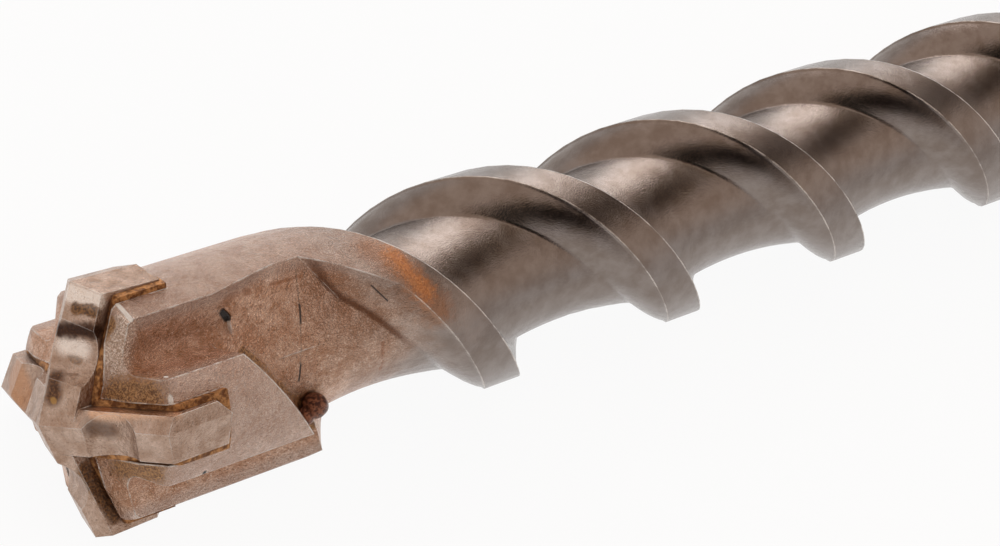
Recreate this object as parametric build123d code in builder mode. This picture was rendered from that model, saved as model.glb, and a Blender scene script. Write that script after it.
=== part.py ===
from build123d import *
import os
from math import acos, asin, ceil, cos, degrees, radians, sin, tan

os.makedirs("parts", exist_ok=True)

# Masonry drill bit for a rotary hammer, lying on its side with its axis along X.
# Millimetres. The shank's end face is centred on the origin and the point is at -X.
# Clock angles are seen from the point: 0 is up, and they grow clockwise, as the
# flutes turn on their way to the shank. "Back" distances run from the outer ends of
# the cutting edges towards the shank.

# Overall
overall_length = 320.0
roll = 43.0                  # clock angle of the second arm when the bit lies at rest

# Carbide cross
cutting_diameter = 25.0
point_height = 5.2           # the tip stands this far ahead of the edges' outer ends
edge_lead = 1.5              # from the edge to the leading side of an arm
edge_trail = 3.2             # from the edge to the trailing side
rake_drop = 1.0              # the leading side starts this far behind the edge
clearance_drop = 1.45        # and the trailing side this far
carbide_back = 7.8           # the rear end of the arms
end_relief = 0.5             # the end's trailing corner lies this much nearer the axis
end_lead_relief = 0.1        # and its leading corner this much
back_taper = 2.0             # degrees, on the arms' outer ends
rear_bevel = 1.5
notch_radius = 3.65
notch_reach = 7.8            # from the axis to the floor of a chip notch
notch_depth = 1.05           # below the cutting edge
notch_slope = 16.0           # degrees, falling to the trailing side
notch_turn = 14.0            # degrees, towards the axis on the trailing side

# Braze
braze_gap = 0.6              # beside the arms
braze_bed = 0.3              # behind them
braze_sink = 0.35            # below the steel's front face
braze_rise = 0.45            # above the steel's outer surface

# Drop of braze
bead_back = 22.4
bead_clock = 34.0            # after the second arm
bead_seat = 8.0              # from the axis
bead_radius = 1.3
bead_tail = 0.8              # the drop's two smaller lumps, against its own size
bead_head = 0.7
bead_tail_turn = 8.0         # degrees round from the drop
bead_head_turn = 4.0

# Steel head
head_diameter = 22.3
face_back = 1.7              # where the front face meets the lands
face_angle = 24.0
face_bevel = 0.4
valley_depth = 0.7           # each quarter of the front face is hollowed to a valley
valley_half = 4.5            # on its way to the groove
head_back = 23.1             # the head's straight part ends here
head_blend = 5.0
groove_angle = 50.0          # clock angle from an arm to the middle of the groove after it
groove_apex = 6.9            # from the axis to where a groove's walls would meet
groove_wall = 41.0           # degrees, each wall from the groove's own radius
groove_round = 1.6
short_groove_back = 13.6     # the grooves after the long lands have opened into the flutes here
groove_back = 25.0           # and those after the short pads here
drift_back = 11.7            # from here a long land's edge drifts away from its groove
drift_end = 19.6             # to here
land_drift = 6.3             # degrees
rise_radius = 6.8            # from the axis to the flat between a long land and its flute

# Helix
helix_diameter = 21.8
lead = 54.3
land_width = 5.3             # along the axis
crease_radius = 7.65         # where the sloping front flank meets the floor
crease_reach = 3.7           # ahead of the flight's front edge
flank_bulge = 0.25
floor_radius = 6.7
heel_radius = 7.2            # where the steep rear flank meets the floor
heel_reach = 0.8
crease_round = 0.7
heel_round = 0.9
edge_break = 0.25
flute_start = 10.9           # back distance of the flutes' first section
flank_full = 31.9            # the front edge of a flight has its full form from here
crease_full = 26.7           # and the crease under it from here
runout = 24.0
runout_radius = 5.9          # the run-out's cone starts inside the flutes' floor

# Shank
shank_diameter = 18.0
shank_length = 90.0
neck_length = 4.8            # plain, from the flutes' end to the shoulder
shoulder_length = 8.0
shoulder_end = 12.0          # from the shoulder to the gripped length
end_bevel = 1.8
drive_slot_width = 4.0
drive_slot_depth = 2.3
drive_slot_length = 70.0
drive_slot_clocks = (136.0, 206.0, 351.0)   # from the second arm
lock_width = 6.0
lock_depth = 2.2
lock_start = 24.0
lock_length = 34.0
lock_clocks = (81.0, 261.0)  # from the second arm

# The round profiles are drawn this far before the second arm, in degrees
profile_turn = 61.0

# Worked out from the sizes above
edges_x = point_height - overall_length
tip_radius = cutting_diameter / 2
helix_radius = helix_diameter / 2
head_radius = head_diameter / 2
shank_radius = shank_diameter / 2
degrees_per_mm = 360 / lead
arm_clocks = [roll + 90 * i for i in range(-1, 3)]
clear_radius = tip_radius + 3.0
flute_span = (lead / 2 - land_width) * degrees_per_mm


def outward(clock):
    """Unit vector from the axis at a clock angle."""
    return Vector(0, -sin(radians(clock)), cos(radians(clock)))


def station(back, clock):
    """Plane across the axis, facing the shank, with its x direction at a clock angle."""
    return Plane(origin=(edges_x + back, 0, 0), x_dir=outward(clock), z_dir=(1, 0, 0))


def spot(back, radius, clock):
    """Point at a back distance, a radius and a clock angle."""
    return Vector(edges_x + back, 0, 0) + outward(clock) * radius


def polar(radius, angle):
    """Point of a sketch at a radius and an angle."""
    return (radius * cos(radians(angle)), radius * sin(radians(angle)))


def plane_through(first, second, third):
    """Plane with its origin at the first point, facing the cross product of the sides."""
    side = second - first
    return Plane(origin=first, x_dir=side, z_dir=side.cross(third - first))


# The plane of the round profiles, with X along the axis
profile_plane = Plane(origin=(0, 0, 0), x_dir=(1, 0, 0), z_dir=outward(roll - profile_turn))

# The round blank of the head and the helix
face_rise = head_radius * tan(radians(face_angle))
bevel_rise = face_bevel * tan(radians(face_angle))
shoulder_x = -shank_length - shoulder_end
blank_end = shoulder_x - shoulder_length - neck_length
with BuildPart() as blank:
    with BuildSketch(profile_plane):
        with BuildLine():
            Polyline(
                (edges_x + face_back - face_rise, 0),
                (edges_x + face_back - bevel_rise, head_radius - face_bevel),
                (edges_x + face_back + face_bevel, head_radius),
                (edges_x + head_back, head_radius),
                (edges_x + head_back + head_blend, helix_radius),
                (blank_end, helix_radius),
                (blank_end, 0),
                close=True,
            )
        make_face()
    revolve(axis=Axis.X)


# One flute's cross-section at the flutes' first station, from the front edge of the
# flight behind it round to the rear edge of the flight before it
crease_turn = crease_reach * degrees_per_mm
heel_turn = flute_span - heel_reach * degrees_per_mm
break_turn = edge_break * degrees_per_mm
mid_flank_radius = (helix_radius + crease_radius) / 2 + flank_bulge
first_clock = arm_clocks[0] + (flute_start - head_back) * degrees_per_mm
section_plane = station(flute_start, first_clock)
with BuildSketch(section_plane) as flute_section:
    with BuildLine():
        Line(polar(clear_radius, -break_turn), polar(helix_radius, -break_turn))
        Line(polar(helix_radius, -break_turn), polar(helix_radius - edge_break, 0))
        ThreePointArc(
            polar(helix_radius - edge_break, 0),
            polar(mid_flank_radius, crease_turn / 2),
            polar(crease_radius, crease_turn),
        )
        ThreePointArc(
            polar(crease_radius, crease_turn),
            polar(floor_radius, (crease_turn + heel_turn) / 2),
            polar(heel_radius, heel_turn),
        )
        Line(polar(heel_radius, heel_turn), polar(helix_radius, flute_span))
        Line(polar(helix_radius, flute_span), polar(clear_radius, flute_span))
        ThreePointArc(
            polar(clear_radius, flute_span),
            polar(clear_radius, flute_span / 2),
            polar(clear_radius, -break_turn),
        )
    make_face()
    crease = polar(crease_radius, crease_turn)
    fillet(flute_section.vertices().sort_by_distance(crease)[0], crease_round)
    heel = polar(heel_radius, heel_turn)
    fillet(flute_section.vertices().sort_by_distance(heel)[0], heel_round)

# One lead of the flute, turned along its length. It repeats along the bit.
flute_turn = Solid.extrude_linear_with_rotation(
    flute_section.sketch.faces()[0], section_plane.origin, Vector(lead, 0, 0), 360
)

# What stays uncut where a flute begins. Under the drift wall and the rise wall lies the
# long land beside the flute: the first widens the groove to the flute's width, and the
# second is a flat that leaves the flute's floor tangentially.
groove_half = groove_wall - degrees(asin(groove_apex * sin(radians(groove_wall)) / head_radius))
land_edge = arm_clocks[0] + groove_angle - groove_half
far_edge = land_edge - land_drift
drift_wall = plane_through(
    spot(drift_back, head_radius, land_edge),
    spot(drift_end, head_radius, far_edge),
    spot(drift_back, groove_apex, arm_clocks[0] + groove_angle),
)
with BuildPart(drift_wall) as drift_guard:
    Box(8 * head_radius, 8 * head_radius, 4 * head_radius, align=(Align.CENTER, Align.CENTER, Align.MIN))
    split(bisect_by=station(head_back, 0), keep=Keep.BOTTOM)

rise_clock = far_edge + degrees(acos(rise_radius / head_radius))
rise_wall = Plane(
    origin=spot(flute_start - 1, rise_radius, rise_clock), x_dir=(1, 0, 0), z_dir=outward(rise_clock)
)
with BuildPart(rise_wall) as rise_guard:
    Box(flank_full - flute_start, head_radius, head_radius, align=(Align.MIN, Align.MIN, Align.MAX))

# The sloping flank of the first flight grows out of the flat, from nothing at the land's
# edge to its full height
flank_clock = arm_clocks[0] + (flank_full - head_back) * degrees_per_mm
flank_top = spot(flank_full, helix_radius, flank_clock)
crease_clock = arm_clocks[0] + (crease_full + crease_reach - head_back) * degrees_per_mm
flank_foot = spot(crease_full, crease_radius, crease_clock)
wedge_wall = plane_through(spot(head_back, helix_radius, far_edge), flank_top, flank_foot)
wedge_end = plane_through(flank_foot, flank_top, flank_foot + wedge_wall.z_dir)
wedge_length = 2 * (flank_full - head_back)
with BuildPart(wedge_wall) as wedge_guard:
    Box(2 * wedge_length, 2 * wedge_length, lead / 4, align=(Align.CENTER, Align.CENTER, Align.MIN))
    split(bisect_by=wedge_end, keep=Keep.TOP)

with BuildPart() as first_turn:
    add(flute_turn)
    add(drift_guard.part, mode=Mode.SUBTRACT)
    add(rise_guard.part, mode=Mode.SUBTRACT)
    add(wedge_guard.part, mode=Mode.SUBTRACT)

# The straight grooves between the lands of the head
groove_top = clear_radius - groove_apex
with BuildPart() as groove:
    with BuildSketch(station(0, arm_clocks[0] + groove_angle)) as groove_section:
        with BuildLine():
            Polyline(
                (groove_apex, 0),
                (clear_radius, groove_top * tan(radians(groove_wall))),
                (clear_radius, -groove_top * tan(radians(groove_wall))),
                close=True,
            )
        make_face()
        fillet(groove_section.vertices().sort_by_distance((groove_apex, 0))[0], groove_round)
    extrude(amount=groove_back)
    extrude(groove_section.sketch, amount=-point_height)

# The grooves after the long lands end where their flutes begin
with BuildPart() as short_groove:
    add(groove.part)
    split(bisect_by=station(short_groove_back, 0), keep=Keep.BOTTOM)

# The valley that each quarter of the front face falls into
valley_clock = arm_clocks[0] + groove_angle
valley_fall = outward(valley_clock) + Vector(tan(radians(face_angle)), 0, 0)
face_top = Vector(edges_x + face_back - face_rise, 0, 0)
with BuildPart() as valley:
    with BuildSketch(Plane(origin=face_top, x_dir=outward(valley_clock + 90), z_dir=valley_fall)):
        with BuildLine():
            Polyline(
                (0, valley_depth),
                (valley_half, 0),
                (valley_half, -point_height),
                (-valley_half, -point_height),
                (-valley_half, 0),
                close=True,
            )
        make_face()
    extrude(amount=2 * head_radius)

# The cross of slots that holds the carbide
slot_lead = edge_lead + braze_gap
slot_trail = edge_trail + braze_gap
slot_back = carbide_back + braze_bed
with BuildPart() as slots:
    for clock in arm_clocks:
        with BuildSketch(station(slot_back, clock)):
            with Locations((0, (slot_trail - slot_lead) / 2)):
                Rectangle(clear_radius, slot_trail + slot_lead, align=(Align.MIN, Align.CENTER))
        extrude(amount=-slot_back - 2 * point_height)

# The plain end of the helix, the shoulder and the shank
with BuildPart() as shank:
    with BuildSketch(profile_plane):
        with BuildLine():
            Polyline(
                (blank_end - runout, 0),
                (blank_end - runout, runout_radius),
                (blank_end, helix_radius),
                (shoulder_x - shoulder_length, helix_radius),
                (shoulder_x, shank_radius),
                (-end_bevel, shank_radius),
                (0, shank_radius - end_bevel),
                (0, 0),
                close=True,
            )
        make_face()
    revolve(axis=Axis.X)
    for clock in drive_slot_clocks:
        with BuildSketch(Plane(origin=(0, 0, 0), x_dir=outward(roll + clock), z_dir=(1, 0, 0))):
            with Locations((shank_radius - drive_slot_depth, 0)):
                Rectangle(2 * drive_slot_depth, drive_slot_width, align=(Align.MIN, Align.CENTER))
        extrude(amount=-drive_slot_length, mode=Mode.SUBTRACT)
    for clock in lock_clocks:
        lock_floor = outward(roll + clock) * (shank_radius - lock_depth)
        with BuildSketch(Plane(origin=lock_floor, x_dir=(1, 0, 0), z_dir=outward(roll + clock))):
            with Locations((-lock_start - lock_length / 2, 0)):
                SlotOverall(lock_length, lock_width)
        extrude(amount=2 * lock_depth, mode=Mode.SUBTRACT)

# The steel body: cut from the blank, with the shank joined on
turns = ceil((blank_end - edges_x - flute_start) / lead)
with BuildPart() as body:
    add(blank.part)
    for side in (0, 180):
        add(first_turn.part.rotate(Axis.X, side), mode=Mode.SUBTRACT)
        for turn in range(1, turns):
            add(flute_turn.rotate(Axis.X, side).moved(Location((turn * lead, 0, 0))), mode=Mode.SUBTRACT)
    for half in (0, 180):
        add(short_groove.part.rotate(Axis.X, half), mode=Mode.SUBTRACT)
        add(groove.part.rotate(Axis.X, half + 90), mode=Mode.SUBTRACT)
    for quarter in range(4):
        add(valley.part.rotate(Axis.X, 90 * quarter), mode=Mode.SUBTRACT)
    add(shank.part)
    add(slots.part, mode=Mode.SUBTRACT)
body.part.label = "steel_body"
export_step(body.part, "parts/steel_body.step")

# One arm of the carbide cross, pointing up, with its cutting edge from the tip outwards
edge_fall = Vector(point_height, 0, tip_radius)
taper_fall = carbide_back * tan(radians(back_taper))
arm_end = spot(0, tip_radius, 0)
arm_end_rear = spot(carbide_back, tip_radius - taper_fall, 0)


def arm_corner(offset, radius):
    """Point at the arm's outer end, at an offset to the trailing side and a radius."""
    return Vector(edges_x, -offset, (radius**2 - offset**2) ** 0.5)


# A chip notch is a round groove whose floor runs downhill from the cutting edge
notch_back = notch_depth + point_height * (notch_reach / tip_radius - 1)
notch_level = outward(90) * cos(radians(notch_turn)) - outward(0) * sin(radians(notch_turn))
notch_down = Vector(1, 0, 0)
notch_fall = notch_level * cos(radians(notch_slope)) + notch_down * sin(radians(notch_slope))
notch_up = notch_level * sin(radians(notch_slope)) - notch_down * cos(radians(notch_slope))
notch_centre = spot(notch_back, notch_reach, 0) + notch_up * notch_radius
notch_axis = Plane(origin=notch_centre, z_dir=notch_fall)

with BuildPart() as arm:
    with BuildSketch(Plane(origin=(edges_x - point_height, 0, 0), x_dir=(0, -1, 0), z_dir=(0, 0, 1))) as profile:
        with BuildLine():
            Polyline(
                (-edge_lead, rake_drop),
                (0, 0),
                (edge_trail, clearance_drop),
                (edge_trail, 2 * slot_back),
                (-edge_lead, 2 * slot_back),
                close=True,
            )
        make_face()
    extrude(amount=2 * tip_radius, dir=edge_fall)
    split(bisect_by=station(carbide_back, 0), keep=Keep.BOTTOM)
    trailing_end = plane_through(arm_end, arm_corner(edge_trail, tip_radius - end_relief), arm_end_rear)
    split(bisect_by=trailing_end, keep=Keep.BOTTOM)
    leading_end = plane_through(arm_end, arm_end_rear, arm_corner(-edge_lead, tip_radius - end_lead_relief))
    split(bisect_by=leading_end, keep=Keep.BOTTOM)
    rear_edges = arm.edges().filter_by_position(Axis.X, edges_x + carbide_back - 0.01, edges_x + carbide_back + 0.01)
    chamfer(rear_edges.filter_by(Axis.Z).sort_by(Axis.Y)[-1], rear_bevel)
    with Locations(notch_axis):
        Cylinder(notch_radius, 2 * cutting_diameter, mode=Mode.SUBTRACT)

# The cross, one piece
with BuildPart() as carbide:
    for clock in arm_clocks:
        add(arm.part.rotate(Axis.X, clock))
carbide.part.label = "carbide_cross"
export_step(carbide.part, "parts/carbide_cross.step")

# The braze that fills the slots round the cross
with BuildPart() as braze:
    with BuildSketch(profile_plane):
        with BuildLine():
            Polyline(
                (edges_x + face_back + braze_sink - face_rise, 0),
                (edges_x + face_back + braze_sink, head_radius),
                (edges_x + face_back + 2 * braze_sink, head_radius + braze_rise),
                (edges_x + slot_back, head_radius + braze_rise),
                (edges_x + slot_back, 0),
                close=True,
            )
        make_face()
    revolve(axis=Axis.X)
    add(slots.part, mode=Mode.INTERSECT)
    add(carbide.part, mode=Mode.SUBTRACT)
braze.part.label = "braze_seam"
export_step(braze.part, "parts/braze_seam.step")

# A drop of braze that ran into the corner behind the second arm's pad
bead_middle = roll + bead_clock
tail_spot = spot(bead_back + bead_radius, bead_seat - bead_radius / 3, bead_middle + bead_tail_turn)
head_spot = spot(bead_back - bead_radius, bead_seat + bead_radius / 3, bead_middle + bead_head_turn)
with BuildPart() as bead:
    with Locations(spot(bead_back, bead_seat, bead_middle)):
        Sphere(bead_radius)
    with Locations(tail_spot):
        Sphere(bead_radius * bead_tail)
    with Locations(head_spot):
        Sphere(bead_radius * bead_head)
    add(body.part, mode=Mode.SUBTRACT)
bead.part.label = "braze_bead"
export_step(bead.part, "parts/braze_bead.step")
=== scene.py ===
# %% [markdown]
# A masonry drill bit
#
# The bit is a steel rod with two flutes wound round it and a carbide cross brazed
# into its head. The solids come from the CAD frame, in metres, with the shank's end at
# the origin and the point at -X. This script gives them their finish, a floor, soft
# light and a camera at the photograph's viewing angle.

# %% Load the frame
import math

import bpy
import numpy as np
from mathutils import Matrix, Vector


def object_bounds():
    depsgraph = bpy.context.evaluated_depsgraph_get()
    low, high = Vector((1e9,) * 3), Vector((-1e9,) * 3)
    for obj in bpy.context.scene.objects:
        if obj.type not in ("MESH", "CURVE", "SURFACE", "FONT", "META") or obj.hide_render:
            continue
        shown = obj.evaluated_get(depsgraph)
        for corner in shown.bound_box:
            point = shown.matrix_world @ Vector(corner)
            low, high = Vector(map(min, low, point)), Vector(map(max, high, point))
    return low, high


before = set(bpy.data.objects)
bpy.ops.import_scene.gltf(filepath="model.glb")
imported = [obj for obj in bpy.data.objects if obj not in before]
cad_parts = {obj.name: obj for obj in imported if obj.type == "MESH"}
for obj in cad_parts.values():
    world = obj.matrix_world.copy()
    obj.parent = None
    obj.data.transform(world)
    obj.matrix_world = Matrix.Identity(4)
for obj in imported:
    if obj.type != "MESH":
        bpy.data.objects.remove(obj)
cad_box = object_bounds()
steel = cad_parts["steel_body"]
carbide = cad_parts["carbide_cross"]
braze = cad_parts["braze_seam"]
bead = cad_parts["braze_bead"]
print("CAD box", cad_box)

# %% [markdown]
# The camera
#
# The photograph was taken close, with a long lens, from the point's side and above. The
# camera looks at a spot on the bit's axis. Its distance, direction and roll were fitted
# to edges that the photograph shows.

# %% Camera
mm_per_metre = 1000.0
sensor_width = 0.036
lens = 0.12797
aim = Vector((-0.2605, -0.00025, -0.00013))
aim_distance = 0.3649
camera_azimuth = math.radians(-67.828)
camera_elevation = math.radians(44.316)
camera_roll = math.radians(41.081)
nearest_seen = 0.01

looking = Vector((
    -math.sin(camera_azimuth) * math.cos(camera_elevation),
    math.cos(camera_azimuth) * math.cos(camera_elevation),
    -math.sin(camera_elevation),
))
camera_data = bpy.data.cameras.new("camera")
camera_data.lens = lens * mm_per_metre
camera_data.sensor_width = sensor_width * mm_per_metre
camera_data.clip_start = nearest_seen
camera = bpy.data.objects.new("camera", camera_data)
bpy.context.scene.collection.objects.link(camera)
upright = looking.to_track_quat("-Z", "Y").to_matrix().to_4x4()
camera.matrix_world = (
    Matrix.Translation(aim - looking * aim_distance) @ upright @ Matrix.Rotation(camera_roll, 4, "Z")
)
bpy.context.scene.camera = camera
print("camera at", tuple(round(c, 4) for c in camera.location))

# %% [markdown]
# Places on a drill
#
# A mark on the bit is easiest to find as on a drill: how far behind the cutting edges it
# is, how far from the axis, and how far round. Turns are counted from the second arm of
# the cross, clockwise as seen from the point, so the first arm is at -90 degrees.

# %% Places
edges_behind = 0.3148
arm_clock = math.radians(43.0)
arm_reach = 12.5
first_arm = -90.0


def drill_place(back, radius, turn):
    """Point at a distance in mm behind the cutting edges, a radius in mm and a turn in
    degrees past the second arm."""
    clock = arm_clock + math.radians(turn)
    from_edges = Vector((back, -radius * math.sin(clock), radius * math.cos(clock)))
    return from_edges / mm_per_metre - Vector((edges_behind, 0, 0))


arm_end = drill_place(0.0, arm_reach, first_arm)
print("first arm's outer end", tuple(round(c, 4) for c in arm_end))

# %% [markdown]
# Shader maths as Python
#
# A pattern is easier to read as an expression than as a chain of boxes. The class below
# wraps a socket, so that `1 - noise * 2` adds the Math nodes that it names.


# %% Expressions on sockets
class Val:
    """A number that varies over a surface: an output socket with arithmetic."""

    def __init__(self, shader, socket):
        self.shader = shader
        self.socket = socket

    def _maths(self, operation, first, second=None):
        inputs = {0: first} if second is None else {0: first, 1: second}
        node = self.shader.node("ShaderNodeMath", {"operation": operation}, inputs)
        return Val(self.shader, node.outputs[0])

    def __add__(self, other):
        return self._maths("ADD", self, other)

    __radd__ = __add__

    def __sub__(self, other):
        return self._maths("SUBTRACT", self, other)

    def __rsub__(self, other):
        return self._maths("SUBTRACT", other, self)

    def __mul__(self, other):
        return self._maths("MULTIPLY", self, other)

    __rmul__ = __mul__

    def __truediv__(self, other):
        return self._maths("DIVIDE", self, other)

    def __rtruediv__(self, other):
        return self._maths("DIVIDE", other, self)

    def max(self, other):
        return self._maths("MAXIMUM", self, other)

    def min(self, other):
        return self._maths("MINIMUM", self, other)

    def abs(self):
        return self._maths("ABSOLUTE", self)

    def sqrt(self):
        return self._maths("SQRT", self)

    def atan2(self, other):
        return self._maths("ARCTAN2", self, other)

    def clamp(self):
        return self.max(0.0).min(1.0)

    def step(self, low, high):
        """0 below low and 1 above high, with a smooth rise between them."""
        settings = {"interpolation_type": "SMOOTHSTEP", "clamp": True}
        node = self.shader.node("ShaderNodeMapRange", settings, {0: self, 1: low, 2: high, 3: 0.0, 4: 1.0})
        return Val(self.shader, node.outputs[0])


def strongest(*masks):
    """The greatest of several masks at each place."""
    greatest = masks[0]
    for mask in masks[1:]:
        greatest = greatest.max(mask)
    return greatest


# %% [markdown]
# A tree of nodes
#
# Every node but the Math nodes comes from one method, which takes the node's type, its
# settings and what goes into its sockets. Colours are blended by a Mix node, because a
# Math node would turn them grey.


# %% Node trees
class Nodes:
    """A node tree that grows by expressions."""

    def __init__(self, tree):
        self.tree = tree

    def node(self, kind, settings=None, inputs=None):
        """Adds a node, sets it up and then fills or links its inputs."""
        node = self.tree.nodes.new(kind)
        for name, value in (settings or {}).items():
            setattr(node, name, value)
        for key, value in (inputs or {}).items():
            self.feed(node.inputs[key], value)
        return node

    def feed(self, socket, value):
        """Links an output to a socket, or sets the socket's own value."""
        if isinstance(value, Val):
            value = value.socket
        if isinstance(value, bpy.types.NodeSocket):
            self.tree.links.new(value, socket)
        else:
            socket.default_value = value

    def mix(self, factor, first, second):
        """Colour mix: first where factor is 0 and second where it is 1. A Mix node has
        its colours at inputs 6 and 7 and at output 2."""
        settings = {"data_type": "RGBA", "clamp_factor": True}
        node = self.node("ShaderNodeMix", settings, {0: factor})
        for socket, value in ((node.inputs[6], first), (node.inputs[7], second)):
            self.feed(socket, (*value[:3], 1.0) if isinstance(value, tuple) else value)
        return node.outputs[2]

    def vector(self, operation, first, second):
        """Vector Math: a number for a product or a distance, otherwise a vector."""
        node = self.node("ShaderNodeVectorMath", {"operation": operation}, {0: first, 1: second})
        if operation in ("DOT_PRODUCT", "DISTANCE"):
            return Val(self, node.outputs["Value"])
        return node.outputs["Vector"]


# %% [markdown]
# A material for the bit
#
# Marks on the bit follow its shape and its history: edges get painted highlights, corners get oxide and
# painted shade, and single marks sit at single places. The class below has a mask for each. A streak is a
# mark along a line between two places, and its ragged rim comes from noise.


# %% Materials
class Shader(Nodes):
    """A material whose patterns know their place on the drill."""

    def __init__(self, name):
        self.material = bpy.data.materials.new(name)
        self.material.use_nodes = True
        super().__init__(self.material.node_tree)
        self.surface = self.tree.nodes["Principled BSDF"]
        self.place = self.node("ShaderNodeTexCoord").outputs["Object"]
        parts = self.node("ShaderNodeSeparateXYZ", {}, {0: self.place}).outputs
        x, y, z = (Val(self, socket) for socket in parts)
        self.back = (x + edges_behind) * mm_per_metre
        self.radius = (y * y + z * z).sqrt() * mm_per_metre
        along_arm = z * math.cos(arm_clock) - y * math.sin(arm_clock)
        after_arm = z * -math.sin(arm_clock) - y * math.cos(arm_clock)
        self.turn = after_arm.atan2(along_arm) * math.degrees(1.0)

    def set(self, **values):
        """Feeds the Principled shader's sockets, named with underscores for spaces."""
        for name, value in values.items():
            self.feed(self.surface.inputs[name.replace("_", " ").title()], value)

    def noise(self, scale, detail, roughness):
        """Smooth noise from 0 to 1, with a scale in blobs per metre."""
        inputs = {"Vector": self.place, "Scale": scale, "Detail": detail, "Roughness": roughness}
        return Val(self, self.node("ShaderNodeTexNoise", {}, inputs).outputs[0])

    def rounded(self, radius):
        """Normal as if each edge were rounded to that radius, in metres."""
        return self.node("ShaderNodeBevel", {"samples": 8}, {"Radius": radius}).outputs[0]

    def edge(self, radius):
        """How far the rounded normal leans away from the face's own."""
        flat = self.node("ShaderNodeNewGeometry").outputs["Normal"]
        return 1.0 - self.vector("DOT_PRODUCT", self.rounded(radius), flat)

    def openness(self, reach):
        """0 in a corner and 1 on a free face, felt over a reach in metres."""
        node = self.node("ShaderNodeAmbientOcclusion", {"samples": 8}, {"Distance": reach})
        return Val(self, node.outputs["AO"])

    def near(self, gap, width, ragged, soft):
        """1 where a gap is under a width, both in mm, fading over a soft share of the
        width. Noise moves that rim by up to half of ragged, in mm, either way."""
        if ragged:
            rim_noise = self.noise(scale=1700.0, detail=3.0, roughness=0.65)
            gap = gap + (rim_noise - 0.5) * ragged
        return 1.0 - gap.step(width * (1.0 - soft), width * (1.0 + soft))

    def spot(self, place, width, ragged=0.0, soft=0.35):
        """1 within a width of one place."""
        gap = self.vector("DISTANCE", self.place, drill_place(*place)) * mm_per_metre
        return self.near(gap, width, ragged, soft)

    def streak(self, places, width, ragged=0.0, soft=0.35):
        """1 within a width of the straight lines that join the places in turn. The
        nearest point of a line is its start plus the part of the way to its end that
        the offset's product with the line gives, held between 0 and 1."""
        parts = []
        for start, end in zip(places[:-1], places[1:]):
            first = drill_place(*start)
            run = drill_place(*end) - first
            offset = self.vector("SUBTRACT", self.place, first)
            share = (self.vector("DOT_PRODUCT", offset, run) / run.length_squared).clamp()
            scaled = self.node("ShaderNodeVectorMath", {"operation": "SCALE"}, {0: run, "Scale": share})
            gap = self.vector("DISTANCE", offset, scaled.outputs["Vector"]) * mm_per_metre
            parts.append(self.near(gap, width, ragged, soft))
        return strongest(*parts)

    def bump(self, height, distance, normal=None):
        """Normal with a relief of height times distance, in metres, a little softened."""
        inputs = {"Height": height, "Distance": distance, "Strength": 0.9}
        if normal is not None:
            inputs["Normal"] = normal
        return self.node("ShaderNodeBump", {}, inputs).outputs[0]


def dress(piece, material):
    """Puts one material in every slot of a piece."""
    for slot in piece.material_slots:
        slot.material = material
    print(piece.name, "wears", material.name, "of", len(material.node_tree.nodes), "nodes")


# %% [markdown]
# Steel
#
# The whole body was shot-blasted after brazing, so it is a metal with a fine grain and a
# satin gloss. The head took a copper tint from the braze. The tint fades along the first
# flight, and the helix behind it is a cooler grey-brown. On the head's outside the tint
# is thinner than in its grooves.

# %% Steel: bare metal
blasted = Shader("blasted steel")
cloud = blasted.noise(scale=430.0, detail=5.0, roughness=0.62)
blotch = blasted.noise(scale=1500.0, detail=4.0, roughness=0.65)
speckle = blasted.noise(scale=5200.0, detail=3.0, roughness=0.7)
grain = blasted.noise(scale=5600.0, detail=3.0, roughness=0.65)

tint_starts_fading = 22.0
tint_gone = 42.0
tint_wander = 14.0
tint_noise = blasted.noise(scale=160.0, detail=4.0, roughness=0.6)
tint = 1.0 - (blasted.back + (tint_noise - 0.5) * tint_wander).step(tint_starts_fading, tint_gone)

grey_brown = blasted.mix(cloud.step(0.3, 0.7), (0.185, 0.144, 0.121), (0.245, 0.204, 0.182))
copper = blasted.mix(cloud.step(0.35, 0.65), (0.48, 0.250, 0.145), (0.66, 0.430, 0.310))
red_copper = (0.36, 0.150, 0.055)
dark_speck = (0.17, 0.075, 0.034)
bright_speck = (0.86, 0.74, 0.65)
thin_copper = (0.50, 0.400, 0.350)
copper = blasted.mix(blotch.step(0.52, 0.70) * 0.5, copper, red_copper)
copper = blasted.mix(speckle.step(0.52, 0.68) * 0.45, copper, dark_speck)
copper = blasted.mix(speckle.step(0.32, 0.46) * -0.5 + 0.5, copper, bright_speck)
outside = blasted.radius.step(9.6, 10.7)
copper = blasted.mix(outside * (0.75 - blotch * 0.5), copper, thin_copper)
colour = blasted.mix(tint, grey_brown, copper)
print("tint fades from", tint_starts_fading, "to", tint_gone, "mm behind the edges")

# %% [markdown]
# Film, oxide and painted shade
#
# Braze film gives the head a gold tone beside its corners. The corners themselves are darkened, partly by
# oxide that stays in them and partly as painted shade. Both come from one measure of how open a face lies.

# %% Steel: film, oxide and painted shade in the corners
gold_film = (0.44, 0.180, 0.050)
# Near-black colour for the corners: oxide and painted shade.
oxide_and_shade_dark = (0.060, 0.022, 0.008)
open_face = blasted.openness(reach=0.0022)
gilt = (1.0 - open_face.step(0.50, 0.92)) * tint
colour = blasted.mix(gilt * (0.35 + blotch * 0.5), colour, gold_film)
# Painted shade, with oxide: the more closed a corner, the darker it is painted.
corner_oxide_and_shade = (1.0 - open_face.step(0.22, 0.66)) * (0.30 + tint * 0.65)
colour = blasted.mix(corner_oxide_and_shade, colour, oxide_and_shade_dark)
print("corners hold oxide")
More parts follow.
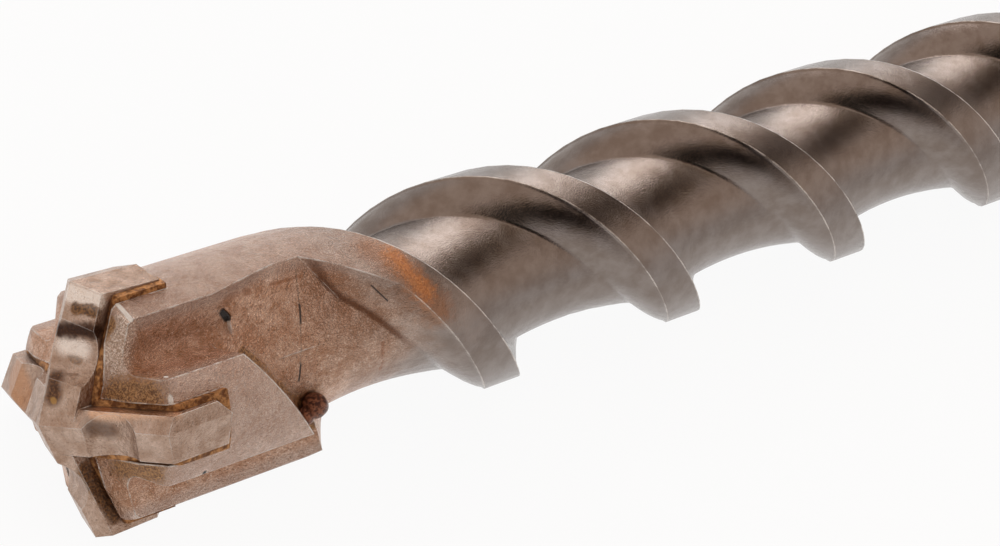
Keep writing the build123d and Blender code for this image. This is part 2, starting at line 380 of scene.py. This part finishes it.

# %% [markdown]
# Patches, painted shade and a painted highlight on the front face
#
# Flux left rough golden-brown patches beside the arms. The patch behind the second arm is also painted
# shade: it stands in for a facet of the front face that is not modelled and turns away from the light. The
# facet beside the first arm is painted lighter, a painted highlight where it faces the light. The foot of
# the milled step behind the second pad is brown, a stain with the step's painted shadow.

# %% Steel: patches, painted shade and a painted highlight
behind_second_arm = [(-0.1, 6.2, -26.0), (1.1, 9.4, -17.5)]
before_third_arm = [(0.5, 6.8, 44.0), (0.9, 9.4, 28.0)]
beside_first_arm = [(0.6, 6.6, -64.0), (1.1, 9.8, -66.0)]
lit_facet_line = [(1.3, 10.6, -58.0), (0.9, 8.4, -54.0), (0.2, 6.4, -40.0)]
step_foot = [(14.4, 7.1, -26.0), (18.3, 6.75, 12.0), (21.5, 7.0, 38.0), (24.0, 8.6, 59.0)]

# Flux patches; the one behind the second arm is also painted shade of an unmodelled facet.
face_patch_and_shade = strongest(
    blasted.streak(behind_second_arm, width=1.5, ragged=1.6, soft=0.5),
    blasted.streak(before_third_arm, width=1.4, ragged=1.6, soft=0.5),
    blasted.streak(beside_first_arm, width=0.7, ragged=0.8),
)
# Painted highlight: the facet beside the first arm is lighter because it faces the light.
lit_facet = blasted.streak(lit_facet_line, width=1.4, ragged=0.9, soft=0.5) * (1.0 - face_patch_and_shade)
lit_facet_colour = blasted.mix(speckle.step(0.42, 0.58), (0.84, 0.70, 0.60), (0.52, 0.36, 0.26))
colour = blasted.mix(lit_facet * 0.85, colour, lit_facet_colour)
# Brown at the step's foot: a stain with the step's painted shadow, joined to the patches.
patch_and_shade = face_patch_and_shade.max(blasted.streak(step_foot, width=0.45, ragged=0.5))
brown_and_shade_colour = blasted.mix(speckle.step(0.4, 0.6), (0.13, 0.050, 0.016), (0.60, 0.33, 0.14))
colour = blasted.mix(patch_and_shade * 0.85, colour, brown_and_shade_colour)
print("patches beside the arms and at the step's foot")

# %% [markdown]
# Rust
#
# The first flight's land has an orange rust stain with a brown halo. Rust also lies in
# the crease under that flight, as a thin line that winds back as the crease does, and in
# three short runs.

# %% Steel: rust
halo_line = [(31.3, 10.9, -56.0), (35.6, 10.9, -14.0)]
stain_line = [(33.3, 10.9, -46.0), (34.7, 10.9, -24.0)]
brown_halo = (0.30, 0.13, 0.055)
deep_rust = (0.115, 0.036, 0.010)
thin_rust = (0.28, 0.085, 0.02)
halo = blasted.streak(halo_line, width=1.7, ragged=2.4, soft=0.7) * 0.6
colour = blasted.mix(halo, colour, brown_halo)
stain = blasted.streak(stain_line, width=1.05, ragged=2.2, soft=0.8)
orange_rust = blasted.mix(speckle.step(0.35, 0.65), (0.62, 0.24, 0.065), (0.36, 0.11, 0.025))
colour = blasted.mix(stain * 0.9, colour, orange_rust)

crease_start = 25.6
crease_turn = -51.0
degrees_per_mm = 7.0
crease_back = crease_start + (blasted.turn - crease_turn) / degrees_per_mm
crease_gap = (blasted.back - crease_back + (speckle - 0.5) * 0.7).abs()
crease_here = blasted.turn.step(-70.0, -50.0) * (1.0 - blasted.turn.step(-6.0, 22.0))
crease_line = (1.0 - crease_gap.step(0.08, 0.55)) * crease_here
colour = blasted.mix(crease_line * 0.8, colour, deep_rust)

rust_runs = strongest(
    blasted.streak([(31.2, 7.3, 3.0), (31.8, 6.85, 31.0)], width=0.20, ragged=0.5),
    blasted.streak([(16.2, 9.86, -57.3), (16.6, 9.8, -57.0)], width=0.35, ragged=0.5),
    blasted.streak([(19.3, 9.8, -57.0), (23.0, 9.7, -56.4)], width=0.16, ragged=0.4),
)
colour = blasted.mix(rust_runs * 0.5, colour, thin_rust)
print("rust stain", stain_line[0][0], "to", stain_line[1][0], "mm behind the edges")

# %% [markdown]
# Painted edge highlights
#
# The edges are painted bright, as painted highlights where the rounded edges catch the light. The rounded
# normal leans away from the flat one near an edge, which makes a mask. The rims of the front face have the
# brightest painted highlights.

# %% Steel: painted edge highlights
first_rim = [(2.2, 11.1, -69.6), (2.0, 11.1, -57.3)]
second_rim = [(2.6, 10.5, -24.8), (1.9, 11.1, -12.0)]
glint_colour = (0.96, 0.88, 0.81)
# Painted highlight along every edge, where the rounding catches the light.
edge_glint = blasted.edge(radius=0.00042).step(0.035, 0.13)
# Painted highlight on the rims of the front face.
rim_glint = blasted.streak(first_rim, width=0.22).max(blasted.streak(second_rim, width=0.24))
painted_glint = (edge_glint * (0.2 + cloud.step(0.38, 0.60) * 0.75)).max(rim_glint)
colour = blasted.mix(painted_glint, colour, glint_colour)
print("edges rubbed bright")

# %% [markdown]
# Single marks
#
# A dark pit lies in the groove, a fine seam runs round behind the pads and is darker in
# three places, and the first flank has a scratch. They are too small to be modelled.

# %% Steel: marks
seam_start = 21.6
seam_turn = -20.0
seam_slope = 0.028
near_black = (0.012, 0.006, 0.005)
pit = blasted.streak([(13.1, 8.95, -51.3), (13.4, 8.65, -49.2)], width=0.44, ragged=0.5, soft=0.25)
seam_back = seam_start - (blasted.turn - seam_turn) * seam_slope
seam_gap = (blasted.back - seam_back).abs()
seam_here = blasted.turn.step(-62.0, -58.0) * (1.0 - blasted.turn.step(12.0, 14.0))
seam_line = (1.0 - seam_gap.step(0.05, 0.17)) * seam_here
seam_dark = strongest(
    blasted.streak([(22.1, 7.9, -42.0), (21.8, 7.4, -34.0)], width=0.40),
    blasted.streak([(20.85, 6.7, 1.5), (20.75, 6.8, 12.0)], width=0.40),
    blasted.spot((21.1, 6.8, -12.8), width=0.25),
)
scratch = blasted.streak([(29.7, 9.87, -36.7), (31.0, 9.55, -25.9)], width=0.08)
mark = blasted.spot((6.1, 11.15, 32.0), width=0.22, ragged=0.1)
black = strongest(pit, seam_line * (0.10 + seam_dark * 0.85), scratch * 0.85, mark)
colour = blasted.mix(black, colour, near_black)
print("seam", seam_start, "mm behind the edges")

# %% [markdown]
# The steel's surface
#
# The blasting left shallow dents, deeper on the head. Where corner oxide and painted shade, rust, a patch,
# a painted edge highlight or a black mark covers the metal, it is less metallic. The gloss is low in the
# corners and the patches.

# %% Steel: surface
relief = (
    grain * (0.25 + tint * 1.6) + blotch * tint * (2.4 + patch_and_shade * 3.0) - pit * 4.0 - seam_line * 0.5
)
blasted.set(
    base_color=colour,
    metallic=1.0 - strongest(corner_oxide_and_shade * 0.2, stain * 0.6, patch_and_shade * 0.4, painted_glint * 0.7, black),
    roughness=(0.19 + tint * 0.06 + (cloud - 0.5) * 0.08 + corner_oxide_and_shade * 0.2 + patch_and_shade * 0.15).min(0.8),
    normal=blasted.bump(relief, distance=0.00016, normal=blasted.rounded(radius=0.00022)),
)
dress(steel, blasted.material)

# %% [markdown]
# Carbide
#
# Tungsten carbide was ground or pressed to shape, and the same blasting left a thin copper
# film on it. The film is thick and pale on the first arm's outer block, tan on the fourth
# arm's side and copper in a strip along the second arm's edge.

# %% Carbide: film
ground = Shader("sintered carbide")
film = ground.noise(scale=620.0, detail=4.0, roughness=0.62)
speck = ground.noise(scale=4800.0, detail=3.0, roughness=0.65)
dark_pore = (0.15, 0.075, 0.040)
pale_cream = (0.97, 0.84, 0.74)
tan_film = (0.52, 0.25, 0.12)
bright_copper = (0.86, 0.52, 0.33)
face = ground.mix(film.step(0.3, 0.7), (0.37, 0.232, 0.160), (0.54, 0.390, 0.305))
face = ground.mix(speck.step(0.52, 0.70) * 0.4, face, dark_pore)

outer_block = [(-0.4, 11.6, -88.0), (0.6, 11.4, -72.0)]
middle_band = [(-1.0, 6.6, -92.0), (-0.5, 6.6, -76.0)]
fourth_side = [(-0.45, 9.6, -168.0), (-0.85, 8.0, -178.0)]
second_strip = [(-2.0, 5.0, -16.0), (1.5, 11.6, -7.2)]
cream = ground.streak(outer_block, width=0.9, ragged=0.5)
cream = cream.max(ground.streak(middle_band, width=0.85, ragged=0.3, soft=0.7))
face = ground.mix(cream * 0.8, face, pale_cream)
tan = ground.streak(fourth_side, width=1.5, ragged=0.8)
face = ground.mix(tan * 0.65, face, tan_film)
strip = ground.streak(second_strip, width=0.75, ragged=0.4, soft=0.5)
face = ground.mix(strip * 0.7, face, bright_copper)
print("film on three arms")

# %% [markdown]
# Oxide and painted shade on the carbide
#
# Dark oxide stays where the blast didn't reach, in a recess of the first arm. The chip notches of the first
# two arms are painted dark, as painted shade under their walls. The channel beside the third arm is brown,
# partly oxide and partly painted shade. The first arm's inner groove is darker along its rim and floor.
# Every corner is darkened, partly by oxide and partly as painted shade.

# %% Carbide: oxide and painted shade
recess = [(-0.45, 10.35, -84.0), (0.3, 10.45, -74.0)]
band_shade = [(-1.0, 5.5, -86.0), (-0.9, 5.5, -74.0)]
channel = [(-1.4, 5.3, 73.5), (1.4, 10.4, 81.8)]
first_notch = [(-1.1, 8.05, -95.0), (-0.65, 8.4, -80.0), (0.0, 8.8, -69.0)]
second_notch = [(-2.5, 4.6, 0.5), (-1.3, 5.5, 5.5)]
groove_rim = [(-1.6, 4.65, -66.0), (-2.48, 4.41, -83.0), (-3.42, 3.46, -77.0), (-3.74, 2.57, -67.0)]
groove_floor = [(-2.9, 4.0, -84.0), (-3.70, 2.7, -74.0)]
block_joint = [(-0.8, 9.25, -95.6), (0.15, 9.6, -71.0)]
groove_end = [(-3.84, 2.4, -66.0), (-3.6, 2.4, -78.0)]
notch_shade_black = (0.030, 0.009, 0.004)
dark_gold = (0.46, 0.25, 0.08)

# Brown in the recess and under the middle band; in the channel it is partly painted shade.
brown = strongest(
    ground.streak(recess, width=0.55, ragged=0.9),
    ground.streak(band_shade, width=0.4, ragged=0.6) * 0.6,
    ground.streak(channel, width=0.9, ragged=0.8),
)
brown_oxide_and_shade = ground.mix(speck.step(0.4, 0.6), (0.045, 0.018, 0.008), (0.26, 0.12, 0.04))
face = ground.mix(brown * 0.85, face, brown_oxide_and_shade)
# Painted shade in the chip notches, under their upper walls.
notches = strongest(
    ground.streak(first_notch, width=0.72, ragged=0.9, soft=0.6),
    ground.streak(second_notch, width=0.85, ragged=0.7, soft=0.6) * 0.45,
)
groove_lines = strongest(
    ground.streak(groove_rim, width=0.16, ragged=0.3) * 0.45,
    ground.streak(groove_floor, width=0.85, ragged=0.5, soft=0.6),
)
block_line = ground.streak(block_joint, width=0.10, ragged=0.1)
# Corners darkened: partly oxide, partly painted shade.
in_corner = 1.0 - ground.openness(reach=0.0016).step(0.25, 0.80)
soot_and_shade = strongest(in_corner, notches, groove_lines, block_line)
dark_oxide_and_shade = ground.mix(speck.step(0.45, 0.7), (0.055, 0.018, 0.006), (0.26, 0.11, 0.040))
face = ground.mix(soot_and_shade * 0.9, face, dark_oxide_and_shade)
# Near-black painted shade deep in the notches.
face = ground.mix(notches * 0.75, face, notch_shade_black)
gold_spot = ground.streak(groove_end, width=0.28, ragged=0.2)
face = ground.mix(gold_spot * 0.8, face, dark_gold)
print("oxide in the notches, the recess, the groove and the channel")

# %% [markdown]
# The carbide's surface
#
# The edges are painted light in places, as painted highlights where the rounded edges catch the light. Dark
# oxide and painted shade are rougher than the film.

# %% Carbide: surface
carbide_glint_colour = (0.93, 0.86, 0.80)
# Painted highlight along the edges, where the rounding catches the light.
highlighted = ground.edge(radius=0.00022).step(0.03, 0.16) * (0.2 + film.step(0.4, 0.6) * 0.65)
face = ground.mix(highlighted, face, carbide_glint_colour)
ground.set(
    base_color=face,
    metallic=0.95 - strongest(soot_and_shade * 0.1, highlighted * 0.7, cream * 0.3),
    roughness=(0.22 + film * 0.08 + soot_and_shade * 0.2 + brown * 0.15).min(0.8),
    normal=ground.bump(speck + film * 2.5, distance=0.00016, normal=ground.rounded(radius=0.00018)),
)
dress(carbide, ground.material)

# %% [markdown]
# Braze
#
# The filler ran out of the slots and oxidised. It is rough, golden where it is thick and dark brown where
# the flux burnt. Its corners are darkened to near black, partly burnt flux and partly painted shade.

# %% Braze material
filler = Shader("oxidised braze")
burnt_flux_and_shade = (0.03, 0.012, 0.006)
lumps = filler.noise(scale=1500.0, detail=4.0, roughness=0.65)
# Painted shade, with burnt flux: near black in the braze's corners.
in_corner = 1.0 - filler.openness(reach=0.0012).step(0.2, 0.7)
gold = filler.mix(lumps.step(0.38, 0.62), (0.15, 0.054, 0.016), (0.54, 0.26, 0.095))
gold = filler.mix(in_corner * 0.8, gold, burnt_flux_and_shade)
filler.set(
    base_color=gold,
    metallic=0.7,
    roughness=0.40 + lumps * 0.2,
    normal=filler.bump(lumps, distance=0.0003),
)
dress(braze, filler.material)

# %% [markdown]
# The drop
#
# One drop of the filler ran back and set in the corner behind the second pad. It is
# darker than the seams, and its wrinkles are relief in the material.

# %% Drop of braze
drop = Shader("braze drop")
drop_lumps = drop.noise(scale=2300.0, detail=4.0, roughness=0.65)
drop.set(
    base_color=drop.mix(drop_lumps.step(0.4, 0.6), (0.07, 0.022, 0.013), (0.30, 0.12, 0.065)),
    metallic=0.7,
    roughness=0.22,
    normal=drop.bump(drop_lumps, distance=0.0005),
)
dress(bead, drop.material)

# %% [markdown]
# Floor
#
# A white floor stands in for the photograph's white ground. It shows as plain white to
# the camera and in reflections, with a soft trace of the bit's shadow, because a small
# share of its own diffuse surface is left in the mix.

# %% Floor
floor_z = cad_box[0][2]
floor_size = 6.0
white_share = 0.93


def flat_plate(name, width, height_z):
    """Square plate in the plane z = height_z, centred on the origin."""
    corner = width / 2
    square = np.array([[-1, -1], [1, -1], [1, 1], [-1, 1]]) * corner
    points = np.column_stack([square, np.full(4, height_z)])
    mesh = bpy.data.meshes.new(name)
    mesh.from_pydata(points.tolist(), [], [(0, 1, 2, 3)])
    plate = bpy.data.objects.new(name, mesh)
    bpy.context.scene.collection.objects.link(plate)
    return plate


floor = flat_plate("floor", floor_size, floor_z)
paper = Shader("white paper")
paper.set(base_color=(0.97, 0.97, 0.97, 1.0), roughness=0.9)
path = paper.node("ShaderNodeLightPath").outputs
shown_white = ("Is Camera Ray", "Is Glossy Ray", "Is Transmission Ray")
seen = strongest(*(Val(paper, path[kind]) for kind in shown_white))
glow = paper.node("ShaderNodeEmission", {}, {"Color": (1.0, 1.0, 1.0, 1.0), "Strength": 1.0}).outputs[0]
blend = paper.node("ShaderNodeMixShader", {}, {0: seen * white_share, 1: paper.surface.outputs[0], 2: glow})
paper.feed(paper.tree.nodes["Material Output"].inputs["Surface"], blend.outputs[0])
floor.data.materials.append(paper.material)
print("floor at", round(floor_z, 4), "m")

# %% [markdown]
# Lamp
#
# One upright lamp stands behind the bit, on the far side from the camera. It makes the
# bright bands on the flutes' floors and on the head's top. Its power follows from its
# area, so that it is as bright as its radiance says at any size.


# %% Lamp
def soft_lamp(name, towards, distance, width, height, radiance):
    """Upright area lamp that faces the bit from a direction, as bright as its radiance."""
    data = bpy.data.lights.new(name, "AREA")
    data.shape = "RECTANGLE"
    data.size = width
    data.size_y = height
    data.energy = radiance * math.pi * width * height
    lamp = bpy.data.objects.new(name, data)
    bpy.context.scene.collection.objects.link(lamp)
    place = aim + Vector(towards).normalized() * distance
    direction = aim - place
    lamp.matrix_world = Matrix.Translation(place) @ direction.to_track_quat("-Z", "Y").to_matrix().to_4x4()
    return lamp


back_lamp = soft_lamp("back lamp", (0.61, 0.77, 0.44), distance=1.0, width=0.42, height=0.68, radiance=2.5)
print("lamp of", round(back_lamp.data.energy, 2), "W")

# %% [markdown]
# Tent
#
# A world of pale cloth surrounds the bit, neutral at the sides and warmer overhead. A
# black flag and a dark brown one hang in it, each a round patch with a soft rim. The
# bit mirrors them as dark flanks on its flights and dark streaks on the flutes' floors.

# %% Tent
world = bpy.data.worlds.new("light tent")
world.use_nodes = True
tent = Nodes(world.node_tree)
ray = tent.node("ShaderNodeTexCoord").outputs["Generated"]


def compass(azimuth, elevation):
    """Unit vector at an azimuth from +X towards +Y and an elevation, in degrees."""
    a, e = math.radians(azimuth), math.radians(elevation)
    return Vector((math.cos(a) * math.cos(e), math.sin(a) * math.cos(e), math.sin(e)))


side_cloth = (0.80, 0.80, 0.82)
top_cloth = (0.88, 0.75, 0.66)
flags = (
    {"direction": compass(-114, 47), "inner": 21, "outer": 34, "colour": (0.004, 0.0015, 0.0005)},
    {"direction": compass(7, 50), "inner": 12, "outer": 23, "colour": (0.030, 0.016, 0.010)},
)
height_of_ray = Val(tent, tent.node("ShaderNodeSeparateXYZ", {}, {0: ray}).outputs[2])
cloth = tent.mix(height_of_ray.step(0.10, 0.60), side_cloth, top_cloth)
for flag in flags:
    facing = tent.vector("DOT_PRODUCT", ray, flag["direction"])
    shade = facing.step(math.cos(math.radians(flag["outer"])), math.cos(math.radians(flag["inner"])))
    cloth = tent.mix(shade, cloth, flag["colour"])
tent.feed(tent.tree.nodes["Background"].inputs["Color"], cloth)
tent.tree.nodes["Background"].inputs["Strength"].default_value = 1.0
bpy.context.scene.world = world
bpy.context.scene.view_settings.view_transform = "Standard"
print("tent with", len(flags), "flags")
